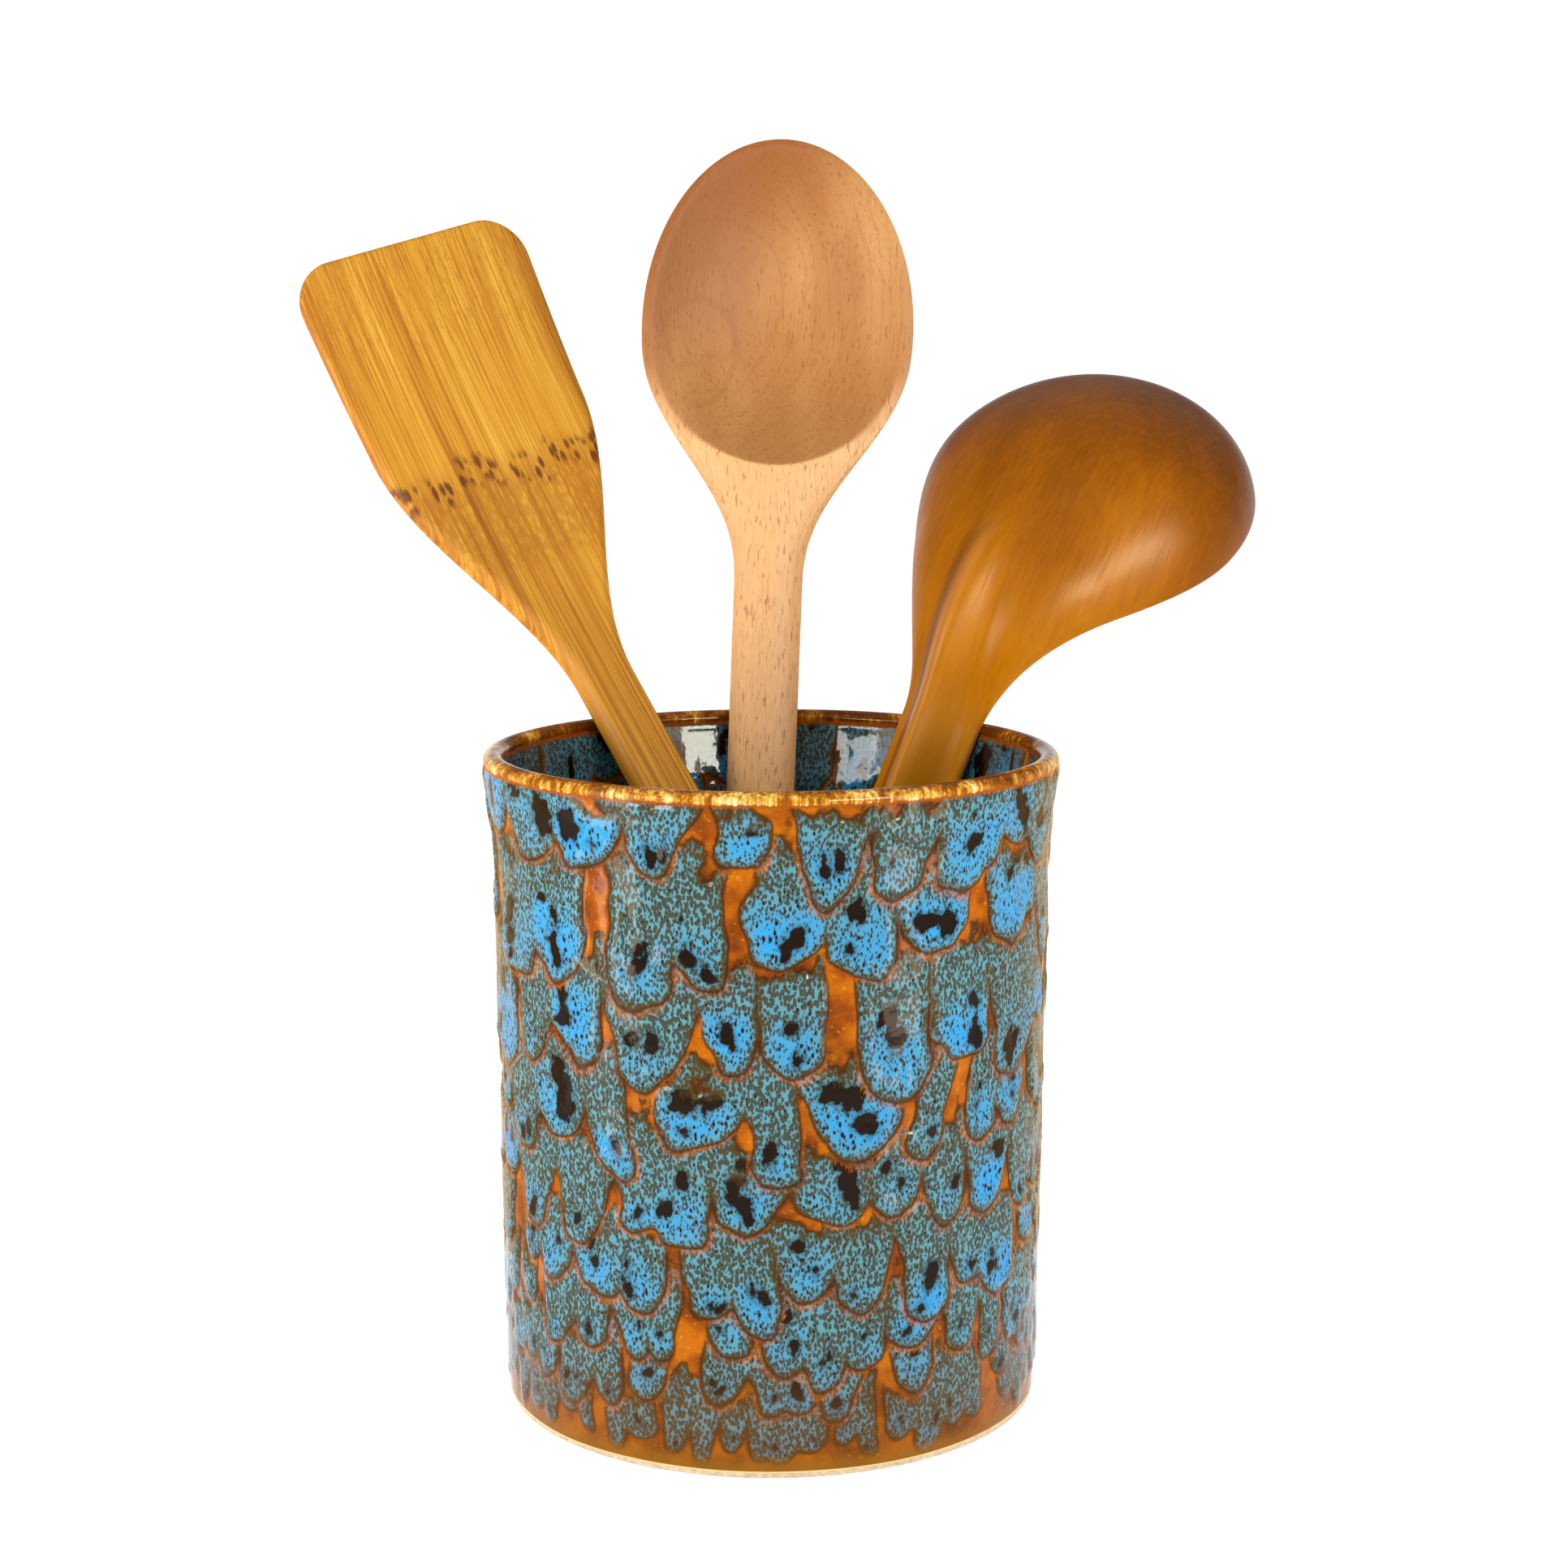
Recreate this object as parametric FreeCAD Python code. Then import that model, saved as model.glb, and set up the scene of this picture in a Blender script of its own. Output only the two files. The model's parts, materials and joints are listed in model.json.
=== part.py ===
import FreeCAD, Part
import math
import os

# A glazed stoneware utensil crock with a bamboo spatula, a wooden spoon and a wooden ladle standing in it.
# Millimetres, +Z up, origin at the centre of the foot on the table, -Y towards the viewer.

Vec = FreeCAD.Vector
UP = Vec(0, 0, 1)
CENTRE = Vec(0, 0, 0)

# Crock
crock_height = 160.7
rim_radius = 70.0
shoulder_radius = 67.4
shoulder_height = 140.0
belly_radius = 66.8
base_radius = 65.9
wall_thickness = 6.0
floor_height = 8.0
lip_radius = 2.7
cove_radius = 9.0
foot_ring_width = 8.0
foot_recess = 2.0
foot_edge_radius = 1.2
lip_flat_count = 4
cove_flat_count = 2
edge_flat_count = 2

# Fit of each utensil in the crock
seat_clearance = 0.3
first_reach_share = 0.7
seat_rounds = 10

# Spatula: a flat bar that widens into a blade curling towards the viewer
spatula_length = 326.0
spatula_handle_width = 16.2
spatula_handle_thickness = 7.6
spatula_blade_tip_width = 67.9
spatula_blade_heel_width = 64.4
spatula_blade_length = 47.2
spatula_neck_length = 80.0
spatula_tip_corner = 13.5
spatula_tip_thickness = 2.4
spatula_curl_length = 130.0
spatula_curl = 17.6
spatula_foot_shares = (0.852, -0.3)
spatula_rim_degrees = 129.3
spatula_front_degrees = -57.0

# Spoon: an oval handle and an egg-shaped bowl with a dished hollow
spoon_length = 303.1
spoon_handle_width = 17.9
spoon_handle_thickness = 10.4
spoon_bowl_width = 71.8
spoon_bowl_depth = 15.5
spoon_bowl_crown = 1.2
spoon_widest = 52.3
spoon_neck_length = 59.5
spoon_hollow_width = 64.2
spoon_hollow_length = 82.0
spoon_hollow_depth = 11.5
spoon_hollow_from_tip = 4.0
spoon_foot_shares = (-0.135, 0.765)
spoon_rim_degrees = 92.3
spoon_front_degrees = -90.0

# Ladle: a keeled handle that bends forward into a round bowl
ladle_length = 282.2
ladle_handle_width = 23.4
ladle_handle_back = 4.8
ladle_handle_front = 2.6
ladle_keel = 7.5
ladle_bowl_width = 91.0
ladle_bowl_half_length = 45.1
ladle_bowl_depth = 31.3
ladle_rim_crown = 1.2
ladle_neck_length = 75.0
ladle_bend_radius = 39.3
ladle_bend_degrees = 40.4
ladle_rim_run = 77.4
ladle_wall = 4.5
ladle_foot_shares = (-0.222, 0.485)
ladle_rim_degrees = 44.8
ladle_front_degrees = 51.9

# Rounded handle ends and the stations of the lofts, as shares of the stretch that they divide
handle_end_round = 5.0
end_angle_shares = (0.4, 1.0)
tip_angle_shares = (0.1, 0.24, 0.4, 0.58, 0.78, 1.0)
neck_shares = (0.14, 0.28, 0.43, 0.57, 0.72, 0.86, 1.0)
flat_shares = (0.5, 1.0)
corner_angle_shares = (0.0, 0.25, 0.5, 0.75, 1.0)
bar_round_share = 0.86
back_arc_points = 6
front_arc_points = 2
keel_power = 5
keel_start_share = 0.1
keel_rise_share = 0.8

# Sizes that follow from those above
quarter_turn = math.pi / 2
full_turn_degrees = 360
inner_base_radius = base_radius - wall_thickness
lip_height = crock_height - lip_radius
lip_centre_radius = rim_radius - lip_radius
belly_height = shoulder_height / 2
cove_top = floor_height + cove_radius


def on_plane(radius, height):
    """A point of a turned profile."""
    return Vec(radius, 0, height)


def arc_points(centre_radius, centre_height, radius, first_degrees, last_degrees, steps):
    """Points round an arc of a turned profile, which is turned in short flats between them."""
    points = []
    for step in range(steps + 1):
        angle = math.radians(first_degrees + (last_degrees - first_degrees) * step / steps)
        across = centre_radius + radius * math.cos(angle)
        points.append(on_plane(across, centre_height + radius * math.sin(angle)))
    return points


def runs(points):
    """Straight edges from each point to the next."""
    return [Part.makeLine(first, second) for first, second in zip(points, points[1:])]


def mouth_edges():
    """The rounded lip, the flare under it inside and the inside of the wall down to the cove."""
    lip = arc_points(lip_centre_radius, lip_height, lip_radius, 0, 180, lip_flat_count)
    shoulder = on_plane(shoulder_radius - wall_thickness, shoulder_height)
    belly = on_plane(belly_radius - wall_thickness, belly_height)
    low = on_plane(inner_base_radius, cove_top)
    return runs(lip + [shoulder]) + [Part.Arc(shoulder, belly, low).toShape()]


def floor_edges():
    """The cove and the floor as far as the axis."""
    cove = arc_points(inner_base_radius - cove_radius, cove_top, cove_radius, 0, -90, cove_flat_count)
    return runs(cove + [on_plane(0, floor_height)])


def turned(edges):
    """The surface that a line of edges makes when it turns about the axis."""
    return Part.Wire(Part.__sortEdges__(edges)).revolve(CENTRE, UP, full_turn_degrees)


def make_crock():
    """The turned jar: a slightly tapered wall with a flared lip, and a foot ring round a shallow recess."""
    ring_inner = base_radius - foot_ring_width
    under = [on_plane(0, floor_height), on_plane(0, foot_recess)]
    under += [on_plane(ring_inner - foot_recess, foot_recess), on_plane(ring_inner, 0)]
    edge_centre = base_radius - foot_edge_radius
    under += arc_points(edge_centre, foot_edge_radius, foot_edge_radius, -90, 0, edge_flat_count)
    low = on_plane(base_radius, foot_edge_radius)
    belly = on_plane(belly_radius, belly_height)
    shoulder = on_plane(shoulder_radius, shoulder_height)
    outside = [Part.Arc(low, belly, shoulder).toShape()]
    outside += runs([shoulder, on_plane(rim_radius, lip_height)])
    profile = Part.Wire(Part.__sortEdges__(runs(under) + outside + mouth_edges() + floor_edges()))
    return Part.Face(profile).revolve(CENTRE, UP, full_turn_degrees)


def smooth_step(share):
    bounded = min(max(share, 0), 1)
    return bounded * bounded * (3 - 2 * bounded)


def end_round_share(distance, length):
    """How much of its full size a rounded end has at a distance from its tip."""
    short = max(length - distance, 0) / length
    return math.sqrt(max(1 - short * short, 0))


def paddle_size(bowl, handle, from_tip, widest, neck):
    """A size along a spoon: round from the tip to the widest place, then an easy fall to the handle."""
    if from_tip < widest:
        return bowl * end_round_share(from_tip, widest)
    return bowl + (handle - bowl) * smooth_step((from_tip - widest) / neck)


def ball_radius(half_width, depth):
    """The radius of the ball whose cap has this half width and depth."""
    return (half_width * half_width + depth * depth) / (2 * depth)


def round_stations(length, angle_shares):
    """Distances from the tip of a rounded end that divide its curve evenly."""
    return [length * (1 - math.cos(quarter_turn * share)) for share in angle_shares]


def paddle_stations(length, widest, neck):
    """Distances from the tip at which a spoon's or a ladle's sections lie, from tip to foot."""
    tip = round_stations(widest, tip_angle_shares)
    stations = tip + [widest + neck * share for share in neck_shares]
    foot = [length - distance for distance in round_stations(handle_end_round, end_angle_shares)]
    return stations + foot[::-1]


def oval_section(half_width, back, front, keel, place):
    """A closed curve, round in front, with a ridge of the keel's height along the middle of its back."""
    back_degrees = [180 * step / back_arc_points for step in range(back_arc_points)]
    front_degrees = [180 + 180 * step / front_arc_points for step in range(front_arc_points)]
    points = []
    for degrees in back_degrees + front_degrees + [360]:
        rise = math.sin(math.radians(degrees))
        depth = front * rise
        if degrees < 180:
            depth = back * rise + keel * rise ** keel_power
        points.append(place(half_width * math.cos(math.radians(degrees)), depth))
    starts = range(0, back_arc_points + front_arc_points, 2)
    return Part.Wire([Part.Arc(*points[start:start + 3]).toShape() for start in starts])


def bar_section(half_width, half_thickness, place):
    """A bar's section with rounded edges, as lines and arcs."""
    corner = half_thickness * bar_round_share
    turn = corner * (1 - math.sin(quarter_turn / 2))
    inner_x = half_width - corner
    inner_y = half_thickness - corner
    edges = []
    for side_x, side_y in ((1, 1), (-1, 1), (-1, -1), (1, -1)):
        on_side = place(side_x * half_width, side_y * inner_y)
        on_arc = place(side_x * (half_width - turn), side_y * (half_thickness - turn))
        on_flat = place(side_x * inner_x, side_y * half_thickness)
        across = place(-side_x * inner_x, side_y * half_thickness)
        along = place(side_x * half_width, -side_y * inner_y)
        if side_x == side_y:
            edges.append(Part.Arc(on_side, on_arc, on_flat).toShape())
            edges.append(Part.makeLine(on_flat, across))
        else:
            edges.append(Part.Arc(on_flat, on_arc, on_side).toShape())
            edges.append(Part.makeLine(on_side, along))
    return Part.Wire(edges)


def spatula_half_width(from_tip):
    """Half the width of the blade, neck or handle at a distance from the tip."""
    tip_half = spatula_blade_tip_width / 2
    heel_half = spatula_blade_heel_width / 2
    if from_tip < spatula_tip_corner:
        corner = spatula_tip_corner * end_round_share(from_tip, spatula_tip_corner)
        return tip_half - spatula_tip_corner + corner
    if from_tip < spatula_blade_length:
        along = (from_tip - spatula_tip_corner) / (spatula_blade_length - spatula_tip_corner)
        return tip_half + (heel_half - tip_half) * along
    fall = smooth_step((from_tip - spatula_blade_length) / spatula_neck_length)
    return heel_half + (spatula_handle_width / 2 - heel_half) * fall


def make_spatula():
    """The spatula upright with the end of its handle at the origin, its front towards -Y."""
    stations = round_stations(spatula_tip_corner, corner_angle_shares)
    flat = spatula_blade_length - spatula_tip_corner
    stations += [spatula_tip_corner + flat * share for share in flat_shares]
    stations += [spatula_blade_length + spatula_neck_length * share for share in neck_shares]
    foot = round_stations(handle_end_round, end_angle_shares)
    stations += [spatula_length - distance for distance in foot[::-1]]
    sections = []
    for from_tip in stations:
        along = spatula_length - from_tip
        end = end_round_share(along, handle_end_round)
        in_curl = max(spatula_curl_length - from_tip, 0) / spatula_curl_length
        thick_change = (spatula_tip_thickness - spatula_handle_thickness) * smooth_step(in_curl)
        half_thickness = end * (spatula_handle_thickness + thick_change) / 2
        half_width = spatula_half_width(from_tip) - (1 - end) * handle_end_round
        offset = -spatula_curl * in_curl * in_curl
        lean = math.atan(2 * spatula_curl * in_curl / spatula_curl_length)
        across = Vec(0, math.cos(lean), math.sin(lean))
        middle = Vec(0, offset, along)

        def place(x, y, middle=middle, across=across):
            return middle + Vec(x, 0, 0) + across * y

        sections.append(bar_section(half_width, half_thickness, place))
    return Part.makeLoft(sections, True, True)


def make_spoon():
    """The spoon upright with the end of its handle at the origin, its hollow towards -Y."""
    widest = spoon_widest
    neck = spoon_neck_length
    handle_half = spoon_handle_width / 2
    handle_depth = spoon_handle_thickness / 2
    sections = []
    for from_tip in paddle_stations(spoon_length, widest, neck):
        along = spoon_length - from_tip
        end = end_round_share(along, handle_end_round)
        half_width = end * paddle_size(spoon_bowl_width / 2, handle_half, from_tip, widest, neck)
        back = end * paddle_size(spoon_bowl_depth, handle_depth, from_tip, widest, neck)
        front = end * paddle_size(spoon_bowl_crown, handle_depth, from_tip, widest, neck)

        def place(x, y, along=along):
            return Vec(x, y, along)

        sections.append(oval_section(half_width, back, front, 0, place))
    blank = Part.makeLoft(sections, True, True)
    ball = ball_radius(spoon_hollow_width / 2, spoon_hollow_depth)
    stretch = FreeCAD.Matrix()
    stretch.scale(1, 1, spoon_hollow_length / spoon_hollow_width)
    hollow = Part.makeSphere(ball).transformGeometry(stretch)
    middle = spoon_length - spoon_hollow_from_tip - spoon_hollow_length / 2
    hollow.translate(Vec(0, spoon_hollow_depth - ball - spoon_bowl_crown, middle))
    return blank.cut(hollow)


def ladle_spine(along):
    """A point on the ladle's front line and the way that its back faces there."""
    bend = math.radians(ladle_bend_degrees)
    straight = ladle_length - ladle_rim_run - ladle_bend_radius * bend
    turned_by = min(max((along - straight) / ladle_bend_radius, 0), bend)
    past = max(along - ladle_length + ladle_rim_run, 0)
    forward = ladle_bend_radius * (1 - math.cos(turned_by)) + past * math.sin(turned_by)
    height = min(along, straight) + ladle_bend_radius * math.sin(turned_by) + past * math.cos(turned_by)
    return Vec(0, -forward, height), Vec(0, math.cos(turned_by), math.sin(turned_by))


def make_ladle():
    """The ladle upright with the end of its handle at the origin, its bowl opening towards -Y."""
    widest = ladle_bowl_half_length
    neck = ladle_neck_length
    sections = []
    for from_tip in paddle_stations(ladle_length, widest, neck):
        along = ladle_length - from_tip
        end = end_round_share(along, handle_end_round)
        keel_rise = smooth_step(((from_tip - widest) / neck - keel_start_share) / keel_rise_share)
        half_width = end * paddle_size(ladle_bowl_width / 2, ladle_handle_width / 2, from_tip, widest, neck)
        back = end * paddle_size(ladle_bowl_depth, ladle_handle_back, from_tip, widest, neck)
        front = end * paddle_size(ladle_rim_crown, ladle_handle_front, from_tip, widest, neck)
        origin, behind = ladle_spine(along)

        def place(x, y, origin=origin, behind=behind):
            return origin + Vec(x, 0, 0) + behind * y

        sections.append(oval_section(half_width, back, front, end * ladle_keel * keel_rise, place))
    blank = Part.makeLoft(sections, True, True)
    half_width = ladle_bowl_half_length - ladle_wall
    depth = ladle_bowl_depth - ladle_wall
    hollow = Part.makeSphere(ball_radius(half_width, depth))
    middle, behind = ladle_spine(ladle_length - ladle_bowl_half_length)
    hollow.translate(middle + behind * (depth - ball_radius(half_width, depth)))
    return blank.cut(hollow)


def stand(shape, foot, top, front_degrees):
    """A copy of an upright shape with its foot on one point, leaning through another, facing one way."""
    along = (top - foot).normalize()
    facing = math.radians(front_degrees)
    behind = Vec(-math.cos(facing), -math.sin(facing), 0)
    behind = (behind - along * behind.dot(along)).normalize()
    side = behind.cross(along)
    turn = FreeCAD.Rotation(side, behind, along, "ZXY")
    placed = shape.copy()
    placed.Placement = FreeCAD.Placement(foot, turn)
    return placed


def seat(shape, foot_shares, rim_degrees, front_degrees, mouth, floor):
    """Leans a utensil towards the rim and lowers it until it lies a clearance from both mouth and floor."""
    low_faces = [face for face in shape.Faces if face.BoundBox.ZMin < crock_height + rim_radius]
    handle = Part.Compound(low_faces)
    toward = Vec(math.cos(math.radians(rim_degrees)), math.sin(math.radians(rim_degrees)), 0)
    reach = rim_radius * first_reach_share
    foot = Vec(foot_shares[0] * inner_base_radius, foot_shares[1] * inner_base_radius, cove_top)
    for _ in range(seat_rounds):
        top = toward * reach + UP * crock_height
        placed = stand(handle, foot, top, front_degrees)
        foot = foot - UP * (placed.distToShape(floor)[0] - seat_clearance)
        placed = stand(handle, foot, top, front_degrees)
        reach = reach + placed.distToShape(mouth)[0] - seat_clearance
    return stand(shape, foot, top, front_degrees), foot, (top - foot).normalize()


os.makedirs("parts", exist_ok=True)
mouth_surface = turned(mouth_edges())
floor_surface = turned(floor_edges())
nodes = {"stoneware_crock": make_crock()}
utensils = (
    ("spatula", make_spatula(), spatula_foot_shares, spatula_rim_degrees, spatula_front_degrees),
    ("spoon", make_spoon(), spoon_foot_shares, spoon_rim_degrees, spoon_front_degrees),
    ("ladle", make_ladle(), ladle_foot_shares, ladle_rim_degrees, ladle_front_degrees),
)
for name, shape, foot_shares, rim_degrees, front_degrees in utensils:
    placed, foot, along = seat(shape, foot_shares, rim_degrees, front_degrees, mouth_surface, floor_surface)
    nodes[name] = placed
    print(name, "foot", foot, "along", along)
for name, shape in nodes.items():
    print(name, "valid", shape.isValid(), "solids", len(shape.Solids), "volume", shape.Volume)
    shape.exportStep("parts/" + name + ".step")
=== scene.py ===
import json
import math
import bpy
import numpy as np
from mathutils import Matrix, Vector


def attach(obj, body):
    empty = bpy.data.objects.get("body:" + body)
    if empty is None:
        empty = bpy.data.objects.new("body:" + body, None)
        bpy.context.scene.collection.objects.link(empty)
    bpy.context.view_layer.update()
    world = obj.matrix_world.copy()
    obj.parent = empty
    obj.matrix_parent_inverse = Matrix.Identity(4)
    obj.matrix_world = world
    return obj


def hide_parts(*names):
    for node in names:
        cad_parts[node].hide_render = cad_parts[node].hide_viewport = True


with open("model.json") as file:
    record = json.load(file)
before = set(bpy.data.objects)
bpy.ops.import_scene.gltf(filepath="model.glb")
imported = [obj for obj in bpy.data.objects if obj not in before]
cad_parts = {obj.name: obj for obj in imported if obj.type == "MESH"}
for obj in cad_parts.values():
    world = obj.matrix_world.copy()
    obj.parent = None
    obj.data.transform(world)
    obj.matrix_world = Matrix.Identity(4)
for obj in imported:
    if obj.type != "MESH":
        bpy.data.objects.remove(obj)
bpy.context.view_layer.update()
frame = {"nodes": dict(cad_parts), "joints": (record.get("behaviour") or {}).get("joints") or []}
MM = 0.001
TURN = 2 * math.pi
QUARTER = math.pi / 2


def srgb(red, green, blue):
    """A colour given as it looks on screen, for a shader."""
    channels = [c / 255 for c in (red, green, blue)]
    return [c / 12.92 if c <= 0.04045 else ((c + 0.055) / 1.055) ** 2.4 for c in channels] + [1]


class Graph:
    """A material with short ways of adding nodes."""

    def __init__(self, name):
        self.material = bpy.data.materials.new(name)
        self.material.use_nodes = True
        self.tree = self.material.node_tree
        self.shader = self.tree.nodes["Principled BSDF"]

    def put(self, value, socket):
        if isinstance(value, bpy.types.NodeSocket):
            self.tree.links.new(value, socket)
        else:
            socket.default_value = value

    def node(self, kind, values, **settings):
        """A new node. Its settings are made first, and then its sockets are filled, by name or place."""
        node = self.tree.nodes.new("ShaderNode" + kind)
        for setting, value in settings.items():
            setattr(node, setting, value)
        for key, value in values.items():
            self.put(value, node.inputs[key])
        return node

    def math(self, operation, first, second=0.0, clamp=False):
        return self.node("Math", {0: first, 1: second}, operation=operation, use_clamp=clamp).outputs[0]

    def plus(self, first, second):
        return self.math("ADD", first, second)

    def minus(self, first, second):
        return self.math("SUBTRACT", first, second)

    def times(self, first, second):
        return self.math("MULTIPLY", first, second)

    def length(self, x, y):
        return self.math("SQRT", self.plus(self.times(x, x), self.times(y, y)))

    def step(self, value, low, high):
        """Smoothly from 0 where the value is low to 1 where it is high."""
        values = {"Value": value, "From Min": low, "From Max": high}
        return self.node("MapRange", values, interpolation_type="SMOOTHSTEP").outputs["Result"]

    def near(self, value, middle, far, close):
        """Smoothly from 0 where the value is far from a middle to 1 where it is close to it."""
        return self.step(self.math("ABSOLUTE", self.minus(value, middle)), far, close)

    def line(self, value, first, last):
        """A straight run from first where the value is 0 to last where it is 1."""
        return self.node("MapRange", {"Value": value, "To Min": first, "To Max": last}).outputs["Result"]

    def swing(self, noise, reach):
        """A noise counted from its middle, times a reach."""
        return self.times(self.minus(noise, 0.5), reach)

    def mix(self, share, first, second):
        values = {"Factor": share, "A": first, "B": second}
        return self.node("Mix", values, data_type="RGBA").outputs["Result"]

    def tint(self, colour, share, strength, other):
        """A colour that goes to another one, as far as the strength says, where the share is 1."""
        return self.mix(self.times(share, strength), colour, other)

    def attribute(self, name, output="Fac"):
        return self.node("Attribute", {}, attribute_name=name).outputs[output]

    def stretched(self, vector, x, y, z):
        return self.node("VectorMath", {0: vector, 1: (x, y, z)}, operation="MULTIPLY").outputs[0]

    def millimetres(self):
        """A point's place on its piece, in millimetres."""
        return self.stretched(self.node("TexCoord", {}).outputs["Object"], 1 / MM, 1 / MM, 1 / MM)

    def parts(self, vector):
        return self.node("SeparateXYZ", {0: vector}).outputs

    def joined(self, x, y, z):
        return self.node("CombineXYZ", {0: x, 1: y, 2: z}).outputs[0]

    def noise(self, vector, detail=2.0, rough=0.5, scale=1.0):
        values = {"Vector": vector, "Scale": scale, "Detail": detail, "Roughness": rough}
        return self.node("TexNoise", values).outputs["Fac"]

    def spots(self, vector, scale):
        """The distance from the nearest of many scattered points."""
        return self.node("TexVoronoi", {"Vector": vector, "Scale": scale}).outputs["Distance"]

    def ramp(self, share, *stops):
        node = self.node("ValToRGB", {0: share})
        points = node.color_ramp.elements
        while len(points) < len(stops):
            points.new(0.5)
        for point, (place, colour) in zip(points, stops):
            point.position = place
            point.color = colour
        return node.outputs[0]

    def constants(self, values):
        """What is the same all over the surface, on the shader's own sockets."""
        for name, value in values.items():
            self.shader.inputs[name].default_value = value

    def finished(self, colour, height, depth):
        """The material, with its colour and with a bump of a depth in metres."""
        bump = self.node("Bump", {"Height": height, "Distance": depth, "Strength": 1.0})
        self.put(colour, self.shader.inputs["Base Color"])
        self.put(bump.outputs[0], self.shader.inputs["Normal"])
        return self.material


def smooth(value, low, high):
    """Smoothly from 0 where the value is low to 1 where it is high."""
    share = np.clip((value - low) / (high - low), 0, 1)
    return share * share * (3 - 2 * share)


def grid_piece(name, points, material, body, fields, closed_ends):
    """A piece from rows of points in millimetres, each row a closed ring, with fields on its points."""
    rows, columns, _ = points.shape
    flat = points.reshape(-1, 3)
    index = np.arange(rows * columns).reshape(rows, columns)
    right = np.roll(index, -1, axis=1)
    faces = np.stack([index[:-1], right[:-1], right[1:], index[1:]], -1).reshape(-1, 4).tolist()
    ends = []
    for row, turned in closed_ends:
        centre = len(flat) + len(ends)
        ends.append(points[row].mean(0))
        pairs = list(zip(index[row].tolist(), right[row].tolist()))
        faces += [[b, a, centre] if turned else [a, b, centre] for a, b in pairs]
    mesh = bpy.data.meshes.new(name)
    mesh.from_pydata((np.vstack([flat, ends]) * MM).tolist(), [], faces)
    mesh.polygons.foreach_set("use_smooth", [True] * len(mesh.polygons))
    for field, values in fields.items():
        width = values.shape[-1] if values.ndim == 3 else 1
        values = values.reshape(rows * columns, width)
        for row, _ in closed_ends:
            values = np.vstack([values, values[index[row]].mean(0)])
        kind, key = ("FLOAT_VECTOR", "vector") if width == 3 else ("FLOAT", "value")
        mesh.attributes.new(field, kind, "POINT").data.foreach_set(key, values.ravel().astype(np.float32))
    piece = bpy.data.objects.new(name, mesh)
    bpy.context.scene.collection.objects.link(piece)
    mesh.materials.append(material)
    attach(piece, body)
    return piece


# The crock's turned form, in millimetres
crock_height = 160.7
rim_radius = 70.0
wall_thickness = 6.0
floor_height = 8.0
lip_radius = 2.7
cove_radius = 9.0
shoulder_height = 140.0
flare_start = shoulder_height + 1
flare_softness = 2.5
lip_height = crock_height - lip_radius
glaze_line = 1.5
foot_radius = 65.9
belly_rise = 1.74
belly_bow = 0.24

# The wall as a sheet that is rolled out: its mean radius, its length and its columns of points
mean_radius = 67
round_wall = TURN * mean_radius
columns_round = 400
theta = np.arange(columns_round) * TURN / columns_round


def belly(z):
    """The wall's gently bowed outside, without the flare."""
    share = z / shoulder_height
    return foot_radius + belly_rise * share - belly_bow * share ** 2


def flare(z, reach):
    """How far the mouth leaves the belly's line, with a soft start."""
    bend = flare_softness * np.log1p(np.exp((z - flare_start) / flare_softness))
    return reach * bend / (lip_height - flare_start)


def outer_radius(z):
    return belly(z) + flare(z, rim_radius - belly(lip_height))


def inner_radius(z):
    reach = rim_radius - 2 * lip_radius - belly(lip_height) + wall_thickness
    return belly(z) - wall_thickness + flare(z, reach)


class Ripple:
    """Smooth noise that closes on itself round the crock, about -1 to 1."""

    wave_count = 14
    wave_sum = 4.2

    def __init__(self, random, length):
        self.around = np.round(round_wall / length * random.uniform(-1, 1, self.wave_count))
        self.upward = random.uniform(-1, 1, self.wave_count) * TURN / length
        self.shift = random.uniform(0, TURN, self.wave_count)

    def __call__(self, angle, z):
        waves = zip(self.around, self.upward, self.shift)
        return sum(np.cos(a * angle + k * z + p) for a, k, p in waves) / self.wave_sum


# The drips of glaze, row under row: height of their lower ends, its spread, half width, height of their tops
drip_rows = (
    (139, 6, 9.4, 157), (116, 7, 9.6, 145), (94, 7, 9.2, 122), (74, 6.5, 8.4, 100), (56, 6, 7.6, 80),
    (40, 5, 6.6, 61), (26, 5.5, 5.7, 46), (14, 5, 4.7, 33), (5, 3.2, 3.5, 21),
)
# The tops of the first row outside and inside, where it runs under the lip
outside_top, inside_top = 157, 172
# Lengths of the ripples that bend the drips: wide ones and fine ones, each round and up, and one that is tiny
ripple_lengths = (30, 26, 8, 8, 2.6)
outside_seed, inside_seed, floor_seed, wall_seed = 15, 23, 8, 5
# How deep inside a dark spot a point counts that is far from any
no_eye = -3.0
# How softly neighbouring drips of a row run together, in millimetres
drip_blend = 0.7


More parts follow.
